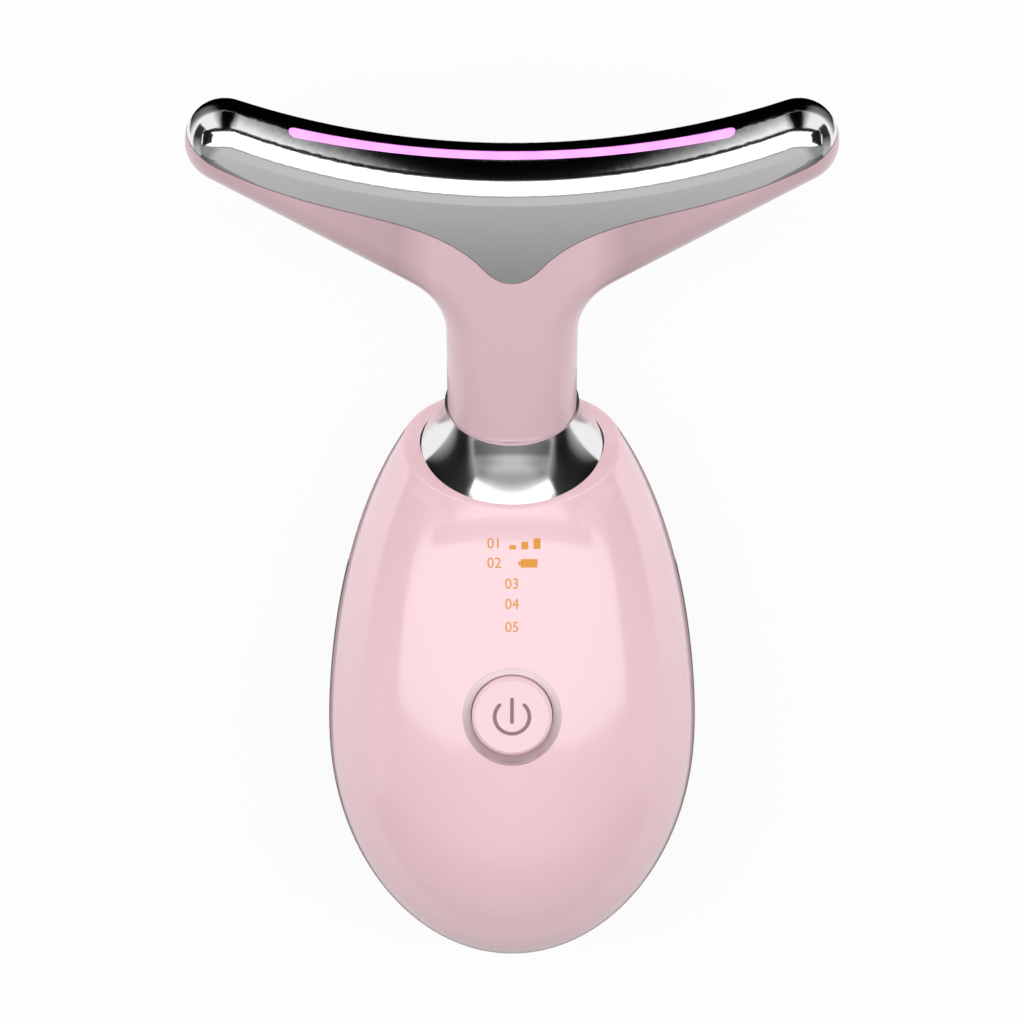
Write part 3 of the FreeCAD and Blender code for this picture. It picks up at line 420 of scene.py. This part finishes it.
# Dull resin, rubber or foam: a mottled colour and a grainy surface
def dull(name, colour, grain, roughness=0.6, depth=0.02 * MM, spread=0.2):
    finish = Finish(name)
    speck = finish.noise(scale=grain, detail=5.0)
    return finish.set(
        Base_Color=finish.mottle(speck, colour, darkest=0.8, lightest=1.15),
        Roughness=roughness - spread / 2 + spread * speck,
        Normal=finish.bump(speck, distance=depth, strength=0.4),
    )


# The lit strip: a milky lens, brightest over each light chip
def glowing(name, colour, chips, half_length):
    finish = Finish(name)
    half_pitch = half_length / chips
    wave = finish.axis("X") + half_length
    spot = wave.math("PINGPONG", wave, half_pitch) / half_pitch
    return finish.set(
        Base_Color=finish.mottle(spot, colour, darkest=0.9, lightest=1.0),
        Roughness=0.3,
        Emission_Color=finish.mottle(spot, colour, darkest=0.8, lightest=1.0),
        Emission_Strength=0.5,
    )


def deselect():
    bpy.ops.object.select_all(action="DESELECT")


def select(*pieces):
    """Selects pieces alone, the first of them active."""
    deselect()
    for piece in pieces:
        piece.select_set(True)
    bpy.context.view_layer.objects.active = pieces[0]


def apply_place(piece):
    select(piece)
    bpy.ops.object.transform_apply(location=True, rotation=True, scale=True)


def join(*pieces):
    """Makes one piece of several, under the first one's name."""
    select(*pieces)
    bpy.ops.object.join()
    return pieces[0]


def finish_mesh():
    """Merges doubles and turns faces outwards on the active piece."""
    bpy.ops.object.mode_set(mode="EDIT")
    bpy.ops.mesh.select_all(action="SELECT")
    bpy.ops.mesh.remove_doubles(threshold=MERGE_DISTANCE)
    bpy.ops.mesh.normals_make_consistent(inside=False)
    bpy.ops.object.mode_set(mode="OBJECT")


def paint(material, *nodes):
    for node in nodes:
        slots = NODES[node].material_slots
        for slot in slots:
            slot.material = material
        if not slots:
            NODES[node].data.materials.append(material)


def properties():
    scene = bpy.context.scene
    return scene.massager_finish, scene.massager_marks, scene.massager_studio


class MASSAGER_OT_finishes(bpy.types.Operator):
    """Gives every CAD piece its finish"""
    bl_idname = "massager.finishes"
    bl_label = "Finishes"

    def execute(self, context):
        look, _, _ = properties()
        self.shells(look)
        self.plating(look)
        self.boards()
        self.cell_and_wires()
        self.motor_and_screws()
        return {"FINISHED"}

    def shells(self, look):
        gloss = {"roughness": look.shell_roughness, "coat": 0.8}
        # The front shell gets painted light and shade in the button's dish and painted light on its collar
        # ring, the rear shell painted light on its collar ring, and the neck painted shade on its wings
        front = moulded("front_pink", look.body_pink, **gloss, painted_light_and_shade=(dish_painted_shading, collar_ring_painted_light))
        rear = moulded("rear_pink", look.body_pink, **gloss, painted_light_and_shade=(collar_ring_painted_light,))
        neck = moulded("neck_pink", look.head_pink, roughness=0.3, coat=0.2, painted_light_and_shade=(wing_painted_shade,))
        paint(front, "front_shell")
        paint(rear, "rear_shell")
        paint(neck, "head_shell")
        paint(moulded("button_pink", look.button_pink, roughness=0.34, coat=0.1), "power_button")

    def plating(self, look):
        paint(plated("mirror_plating", look.chrome, roughness=0.1), "massage_plate")
        paint(plated("collar_plating", look.chrome, roughness=0.15), "neck_collar")
        paint(plated("contact_plating", DARK_PLATING, roughness=0.3),
              "side_contact_left", "side_contact_right")
        _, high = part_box("light_strip_lens")
        paint(glowing("light_lens", look.light_colour, LIGHT_CHIPS, high.x), "light_strip_lens")

    def boards(self):
        paint(dull("board_resin", GREEN_RESIN, BOARD_GRAIN, roughness=0.4), "main_board", "charge_board")
        paint(dull("pale_resin", PALE_RESIN, BOARD_GRAIN, roughness=0.4), "light_board")
        paint(dull("light_chip", YELLOW_CHIP, FINEST_GRAIN, roughness=0.3), "light_chips")
        paint(dull("amber_chip", AMBER_CHIP, FINEST_GRAIN, roughness=0.3), "indicator_lights")
        paint(dull("heater_film", AMBER_FILM, FILM_GRAIN, roughness=0.35), "heater_film")
        paint(dull("sensor_bead", BLACK_BEAD, FINE_GRAIN, roughness=0.35), "temperature_sensor")
        paint(dull("switch_black", BLACK_RESIN, FINE_GRAIN), "switch_housing")
        paint(dull("plunger_red", RED_RESIN, FINE_GRAIN), "switch_plunger")
        paint(dull("guide_white", WHITE_RESIN, SOFT_GRAIN), "indicator_light_guide")
        paint(dull("connector_ivory", IVORY_RESIN, SOFT_GRAIN), "board_connectors")

    def cell_and_wires(self):
        paint(brushed("cell_foil", FOIL, roughness=0.35, stretch=(1, 0.1, 1)), "battery")
        paint(dull("foam_black", BLACK_FOAM, FOAM_GRAIN, roughness=0.8, depth=0.2 * MM), "battery_pad")
        jackets = {"head_harness": BLACK_JACKET, "motor_leads": RED_JACKET, "battery_leads": RED_JACKET}
        for node, colour in jackets.items():
            paint(dull(node + "_jacket", colour, SOFT_GRAIN, roughness=0.45), node)

    def motor_and_screws(self):
        upright = (1, 1, 0.1)
        paint(brushed("brushed_steel", STEEL, roughness=0.25, stretch=upright), "charging_socket",
              "shell_screws", "board_screws", "motor_can", "motor_shaft", "motor_armature")
        paint(dull("cap_black", BLACK_RESIN, FINE_GRAIN), "motor_end_cap")
        paint(brushed("weight_metal", WEIGHT_METAL, roughness=0.35, stretch=upright), "eccentric_weight")
        paint(dull("sleeve_rubber", BLACK_RUBBER, SOFT_GRAIN, roughness=0.7), "motor_sleeve")


class MASSAGER_OT_power_symbol(bpy.types.Operator):
    """Prints the power symbol on the button"""
    bl_idname = "massager.power_symbol"
    bl_label = "Power symbol"

    def execute(self, context):
        look, marks, _ = properties()
        low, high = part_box("power_button")
        centre = Vector(((low.x + high.x) / 2, (low.y + high.y) / 2, high.z))
        piece = join(self.ring(centre, marks), self.bar(centre, marks))
        rose = dull("symbol_rose", look.mark_rose, FINEST_GRAIN, roughness=0.4, depth=INK_RELIEF)
        piece.data.materials.append(rose)
        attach(piece, "button")
        return {"FINISHED"}

    def ring(self, centre, marks):
        """The open ring: an upright rectangle spun round the button's axis."""
        stroke, radius = marks.symbol_stroke, marks.symbol_radius
        deselect()
        bpy.ops.mesh.primitive_plane_add(size=1, location=(0, 0, 0), rotation=(math.radians(90), 0, 0))
        piece = bpy.context.object
        piece.name = "power_symbol"
        piece.scale = (stroke, 2 * marks.ink_thickness, 1)
        apply_place(piece)
        piece.location = centre + Vector((radius, 0, 0))
        apply_place(piece)
        start = math.radians(90) + marks.symbol_opening / 2
        sweep = math.radians(360) - marks.symbol_opening
        bpy.ops.object.mode_set(mode="EDIT")
        bpy.ops.mesh.select_all(action="SELECT")
        bpy.ops.transform.rotate(value=-start, orient_axis="Z", center_override=centre)
        bpy.ops.mesh.spin(steps=SYMBOL_STEPS, angle=-sweep, center=centre, axis=(0, 0, 1))
        bpy.ops.object.mode_set(mode="OBJECT")
        finish_mesh()
        ends = [centre + Vector((side * math.cos(start), math.sin(start), 0)) * radius for _, side in SIDES]
        self.round_ends(piece, stroke, ends)
        return piece

    def bar(self, centre, marks):
        """The short bar in the ring's opening."""
        stroke, radius = marks.symbol_stroke, marks.symbol_radius
        deselect()
        bpy.ops.mesh.primitive_cube_add(size=1, location=centre + Vector((0, radius * BAR_CENTRE_SHARE, 0)))
        bar = bpy.context.object
        bar.scale = (stroke, radius * BAR_LENGTH_SHARE, 2 * marks.ink_thickness)
        apply_place(bar)
        rises = (BAR_CENTRE_SHARE - BAR_LENGTH_SHARE / 2, BAR_CENTRE_SHARE + BAR_LENGTH_SHARE / 2)
        self.round_ends(bar, stroke, [centre + Vector((0, radius * rise, 0)) for rise in rises])
        return bar

    def round_ends(self, piece, stroke, ends):
        """Rounds the upright edges of a stroke near its ends."""
        bpy.context.view_layer.objects.active = piece
        mesh = piece.data
        for vertex in mesh.vertices:
            vertex.select = False
        for face in mesh.polygons:
            face.select = False
        for edge in mesh.edges:
            low, high = (mesh.vertices[index].co for index in edge.vertices)
            upright = (low - high).to_2d().length < stroke * UPRIGHT_SHARE
            near = any((low - end).to_2d().length < stroke * END_REACH_SHARE for end in ends)
            edge.select = upright and near
        bpy.ops.object.mode_set(mode="EDIT")
        bpy.ops.mesh.select_mode(type="EDGE")
        bpy.ops.mesh.bevel(offset=stroke * END_ROUNDING_SHARE, segments=END_ROUNDING_STEPS)
        bpy.ops.object.mode_set(mode="OBJECT")


class MASSAGER_OT_indicator_marks(bpy.types.Operator):
    """Prints the amber level figures and signs on the front shell"""
    bl_idname = "massager.indicator_marks"
    bl_label = "Indicator marks"

    def execute(self, context):
        look, marks, _ = properties()
        tall = marks.figure_height
        amber = dull("amber_print", look.amber, FINEST_GRAIN, roughness=0.4, depth=INK_RELIEF)
        for number, y in enumerate(MARK_ROWS, 1):
            figure = self.figure(number, FIGURE_SHIFT if number <= SIGN_ROWS else 0, y, tall)
            self.print_on_shell(figure, f"level_mark_{number}", amber)
        level_row, cell_row = MARK_ROWS[:SIGN_ROWS]
        bars = []
        for index, share in enumerate(LEVEL_BAR_SHARES):
            x = LEVEL_BAR_START + index * LEVEL_BAR_PITCH
            bars.append(self.block(x, level_row, LEVEL_BAR_WIDTH, tall * share, tall))
        self.print_on_shell(join(*bars), "level_bars", amber)
        cell, cap = tall * CELL_HEIGHT_SHARE, tall * CELL_CAP_HEIGHT_SHARE
        sign = [self.block(CELL_PLACE, cell_row, CELL_WIDTH, cell, cell),
                self.block(CELL_CAP_PLACE, cell_row, CELL_CAP_WIDTH, cap, cap)]
        self.print_on_shell(join(*sign), "cell_sign", amber)
        return {"FINISHED"}

    def figure(self, number, x, y, height):
        deselect()
        bpy.ops.object.text_add(location=(x, y, DROP_HEIGHT))
        text = bpy.context.object
        text.data.body = f"{number:02d}"
        text.data.size = height * FIGURE_SIZE_SHARE
        text.data.align_x = "CENTER"
        text.data.align_y = "CENTER"
        bpy.ops.object.convert(target="MESH")
        return bpy.context.object

    def block(self, x, y, width, height, line):
        """A plain bar that stands on the foot of its line."""
        deselect()
        middle = y - line / 2 + height / 2
        bpy.ops.mesh.primitive_plane_add(size=1, location=(x, middle, DROP_HEIGHT))
        plate = bpy.context.object
        plate.scale = (width, height, 1)
        apply_place(plate)
        bpy.ops.object.mode_set(mode="EDIT")
        bpy.ops.mesh.select_all(action="SELECT")
        bpy.ops.mesh.subdivide(number_cuts=MARK_CUTS)
        bpy.ops.object.mode_set(mode="OBJECT")
        return plate

    def print_on_shell(self, piece, name, ink):
        """Drops a flat mark straight down onto the front shell and gives it its thickness."""
        piece.name = name
        apply_place(piece)
        wrap = piece.modifiers.new("lie", "SHRINKWRAP")
        wrap.target = NODES["front_shell"]
        wrap.wrap_method = "PROJECT"
        wrap.use_project_z = True
        wrap.use_negative_direction = True
        wrap.use_positive_direction = False
        bpy.ops.object.modifier_apply(modifier=wrap.name)
        thick = piece.modifiers.new("ink", "SOLIDIFY")
        thick.thickness = bpy.context.scene.massager_marks.ink_thickness
        thick.offset = 1
        bpy.ops.object.modifier_apply(modifier=thick.name)
        finish_mesh()
        piece.data.materials.clear()
        piece.data.materials.append(ink)
        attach(piece, "housing")


class MASSAGER_OT_stage(bpy.types.Operator):
    """Sets the floor, the room, the lamps, the cards and the camera"""
    bl_idname = "massager.stage"
    bl_label = "Studio"

    def execute(self, context):
        _, _, studio = properties()
        self.floor()
        self.room(studio)
        self.lamps(studio)
        self.cards()
        self.camera(studio)
        context.scene.view_settings.view_transform = "Standard"
        return {"FINISHED"}

    def floor(self):
        deselect()
        bpy.ops.mesh.primitive_plane_add(size=FLOOR_SIZE, location=(0, 0, -FLOOR_DROP))
        floor = bpy.context.object
        floor.name = "studio_floor"
        look = Finish("floor_white")
        speck = look.noise(scale=40.0, detail=2.0)
        look.set(Base_Color=look.mix(speck, FLOOR_DEEP, FLOOR_PALE), Roughness=0.9, Specular_IOR_Level=0.0)
        camera, glossy, through = (look.node("ShaderNodeLightPath", output=f"Is {kind} Ray")
                                   for kind in ("Camera", "Glossy", "Transmission"))
        seen = camera.math("MAXIMUM", camera.math("MAXIMUM", camera, glossy), through)
        lit = Val(look, look.surface.outputs["BSDF"])
        glow = look.node("ShaderNodeEmission")
        blend = look.node("ShaderNodeMixShader", {}, {0: seen * FLOOR_GLOW, 1: lit, 2: glow})
        look.feed(look.tree.nodes["Material Output"].inputs["Surface"], blend)
        floor.data.materials.append(look.material)

    def room(self, studio):
        scene = bpy.context.scene
        scene.world = scene.world or bpy.data.worlds.new("studio")
        scene.world.use_nodes = True
        background = scene.world.node_tree.nodes["Background"]
        background.inputs["Color"].default_value = (1, 1, 1, 1)
        background.inputs["Strength"].default_value = studio.room_level

    def lamps(self, studio):
        panel = self.lamp("overhead_panel", PANEL_PLACE, (0, 0, 0), studio.panel_strength)
        panel.data.shape = "RECTANGLE"
        panel.data.size, panel.data.size_y = PANEL_SIZE
        aside, behind, above = LAMP_PLACE
        for side, sign in SIDES:
            place = Vector((sign * aside, behind, above))
            turn = (LAMP_AIM - place).to_track_quat("-Z", "Y").to_euler()
            lamp = self.lamp(f"{side}_lamp", place, turn, studio.side_strength)
            lamp.data.size = LAMP_SIZE
            lamp.visible_glossy = False

    def lamp(self, name, place, turn, power):
        deselect()
        bpy.ops.object.light_add(type="AREA", location=place, rotation=turn)
        lamp = bpy.context.object
        lamp.name = name
        lamp.data.energy = power
        lamp.visible_camera = False
        return lamp

    def cards(self):
        """Cards that give the chrome and the shells their bright and dark reflections."""
        self.card("front_mat", place=(0, -0.435, 0.0003), size=(1.6, 0.93),
                  upwards=((0.9, 0.5), (0.96, 0.7), (1, 0.9)))
        self.card("body_disc", place=(0, 0.004, 0.0006), size=(0.074, 0.098),
                  outwards=DIM, rounded=True)
        self.card("head_mat", place=(0, 0.22, 0.0006), size=(0.36, 0.24), outwards=((0.4, 0), (1, 0.9)))
        self.card("back_card", place=(0, 0.355, 0.31), turn=UPRIGHT, size=(1.4, 0.62),
                  outwards=((0.09, 0), (0.25, 1)), upwards=((0, 0.95), (0.6, 1), (0.7, 0)))
        self.card("front_card", place=(0, -0.26, 0.31), turn=LEANING, size=(1.3, 0.62),
                  outwards=((0.1, 0.6), (0.5, 0.3), (1, 0.3)), upwards=((0.35, 0.4), (0.4, 1), (1, 1)))
        self.card_pair("{}_card", place=(0.45, 0.22, 0.13), size=(0.9, 0.26),
                       outwards=((0.2, 0.03), (0.62, 0.5)), upwards=((0.6, 1), (1, 0.4)))
        self.card("collar_front", place=(0, 0.0352, 0.039), size=(0.048, 0.0044),
                  outwards=((0.35, 1), (0.6, 0.6), (1, 0.6)),
                  upwards=((0, 0.7), (0.25, 0.5), (0.5, 0.32), (0.7, 0.34), (0.89, 0.7), (1, 0.9)))
        self.card_pair("collar_{}", place=(0.0145, 0.0397, 0.0285), size=(0.007, 0.016),
                       outwards=((0, 0), (0.4, 0.01), (1, 0.5)))
        self.card_pair("{}_gap", place=(0.085, 0.094, 0.103), size=(0.045, 0.055), outwards=DARK)

    def card_pair(self, name, place, **how):
        """The same upright card at both sides."""
        aside, behind, above = place
        for side, sign in SIDES:
            self.card(name.format(side), (sign * aside, behind, above), turn=ALONG_SIDES, **how)

    def card(self, name, place, size, turn=FLAT, outwards=EVEN, upwards=EVEN, rounded=False):
        """One card, with its brightness from the middle outwards and from the foot upwards."""
        deselect()
        if rounded:
            bpy.ops.mesh.primitive_circle_add(vertices=DISC_CORNERS, radius=0.5, fill_type="NGON",
                                              location=place)
        else:
            bpy.ops.mesh.primitive_plane_add(size=1, location=place)
        card = bpy.context.object
        card.name = name
        card.rotation_euler = [math.radians(angle) for angle in turn]
        card.scale = (*size, 1)
        look = Finish(name)
        level = look.ramp(abs(look.axis("X") * 2), outwards) * look.ramp(look.axis("Y") + 0.5, upwards)
        look.set(Base_Color=(0, 0, 0), Roughness=1.0, Specular_IOR_Level=0.0, Emission_Strength=1.0,
                 Emission_Color=level)
        card.data.materials.append(look.material)
        card.visible_camera = False
        card.visible_diffuse = False
        card.visible_shadow = False
        card.visible_transmission = False

    def camera(self, studio):
        tilt = studio.tilt
        toward = Vector((0, math.sin(tilt), math.cos(tilt)))
        up = Vector((0, math.cos(tilt), -math.sin(tilt)))
        aim = Vector((0, 0, AIM_HEIGHT)) + up * (studio.view_width * AIM_SHARE)
        deselect()
        bpy.ops.object.camera_add(location=aim + toward * studio.distance, rotation=(-tilt, 0, 0))
        camera = bpy.context.object
        camera.name = "photo_camera"
        camera.data.sensor_width = SENSOR_WIDTH
        camera.data.lens = SENSOR_WIDTH * studio.distance / studio.view_width
        camera.data.clip_start = CLIP_START
        bpy.context.scene.camera = camera


OPERATORS = (MASSAGER_OT_finishes, MASSAGER_OT_power_symbol, MASSAGER_OT_indicator_marks, MASSAGER_OT_stage)
GROUPS = {
    "massager_finish": MassagerFinish,
    "massager_marks": MassagerMarks,
    "massager_studio": MassagerStudio,
}


class MASSAGER_PT_panel(bpy.types.Panel):
    """Lists the massager's operators and settings"""
    bl_idname = "MASSAGER_PT_panel"
    bl_label = "Face massager"
    bl_space_type = "VIEW_3D"
    bl_region_type = "UI"
    bl_category = "Massager"

    def draw(self, context):
        for operator in OPERATORS:
            self.layout.operator(operator.bl_idname)
        for name, group in GROUPS.items():
            box = self.layout.box()
            for key in group.__annotations__:
                box.prop(getattr(context.scene, name), key)


def register():
    for cls in (*GROUPS.values(), *OPERATORS, MASSAGER_PT_panel):
        bpy.utils.register_class(cls)
    for name, group in GROUPS.items():
        setattr(bpy.types.Scene, name, bpy.props.PointerProperty(type=group))


def unregister():
    for name in GROUPS:
        delattr(bpy.types.Scene, name)
    for cls in (MASSAGER_PT_panel, *reversed(OPERATORS), *GROUPS.values()):
        bpy.utils.unregister_class(cls)


def main():
    register()
    bpy.ops.massager.finishes()
    bpy.ops.massager.power_symbol()
    bpy.ops.massager.indicator_marks()
    bpy.ops.massager.stage()
    bpy.context.view_layer.update()


if __name__ == "__main__":
    main()
